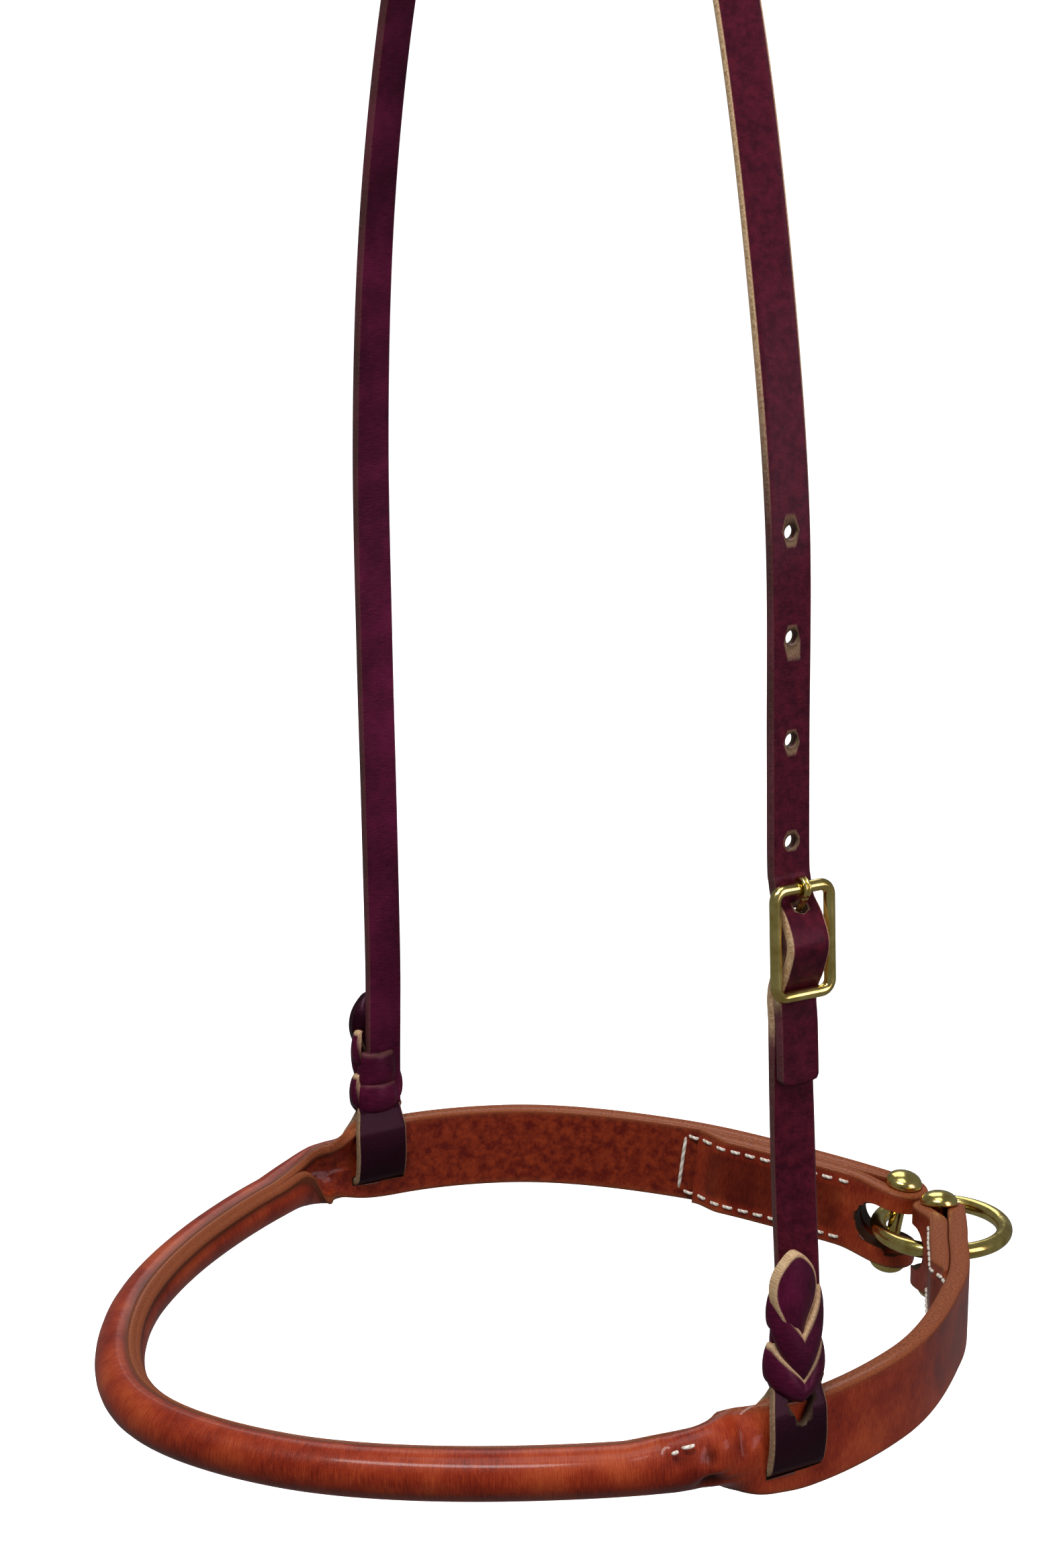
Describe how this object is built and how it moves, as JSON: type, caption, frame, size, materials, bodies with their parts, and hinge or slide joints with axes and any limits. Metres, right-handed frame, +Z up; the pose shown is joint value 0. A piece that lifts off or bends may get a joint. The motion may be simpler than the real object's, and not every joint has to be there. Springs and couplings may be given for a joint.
{
  "type": "rolled nose leather noseband",
  "caption": "Horse noseband: rolled leather nose, flat cheeks joined at a brass ring by screw posts, hung from a thin strap over the poll with blood knots and a buckle.",
  "frame": {"origin": "underside of the crown strap at its highest point, where it sits on the horse's poll", "axes": "+Z up, -X towards the nose, +X towards the chin ring, -Y the horse's near side with the buckle"},
  "size_m": [0.2616, 0.2078, 0.428],
  "materials": {
    "russet_leather": "oiled russet harness leather, glossy on the roll",
    "latigo_leather": "burgundy latigo with tan cut edges",
    "polished_brass": "polished",
    "waxed_thread": "waxed white thread",
    "core_rope": "twisted natural rope"
  },
  "bodies": {
    "hanger": {"crown_strap": "latigo_leather", "cheek_strap": "latigo_leather", "buckle_frame": "polished_brass"},
    "tongue": {"buckle_tongue": "polished_brass"},
    "noseband": {"noseband_strap": "russet_leather", "rope_core": "core_rope", "roll_stitching": "waxed_thread", "near_fold_stitching": "waxed_thread", "far_fold_stitching": "waxed_thread"},
    "near_pin": {"near_pin_post": "polished_brass", "near_pin_cap": "polished_brass"},
    "far_pin": {"far_pin_post": "polished_brass", "far_pin_cap": "polished_brass"},
    "ring": {"tie_down_ring": "polished_brass"}
  },
  "joints": [
    {"name": "noseband_tilt", "type": "hinge", "parent": "hanger", "child": "noseband", "pos_m": [0, 0, -0.4046], "axis": [0, 1, 0], "range_deg": [-5, 5]},
    {"name": "ring_swing", "type": "hinge", "parent": "noseband", "child": "ring", "pos_m": [0.10999, 0, -0.41057], "axis": [0, 1, 0], "range_deg": [-18, 25]},
    {"name": "tongue_pivot", "type": "hinge", "parent": "hanger", "child": "tongue", "pos_m": [0, -0.09497, -0.26997], "axis": [1, 0, 0], "range_deg": [-5, 5]},
    {"name": "near_pin_turn", "type": "hinge", "parent": "noseband", "child": "near_pin", "pos_m": [0.10999, -0.00922, -0.41057], "axis": [0.0996, 0.1306, 0.9864], "continuous": true},
    {"name": "far_pin_turn", "type": "hinge", "parent": "noseband", "child": "far_pin", "pos_m": [0.10999, 0.00922, -0.41057], "axis": [0.0996, -0.1306, 0.9864], "continuous": true}
  ]
}
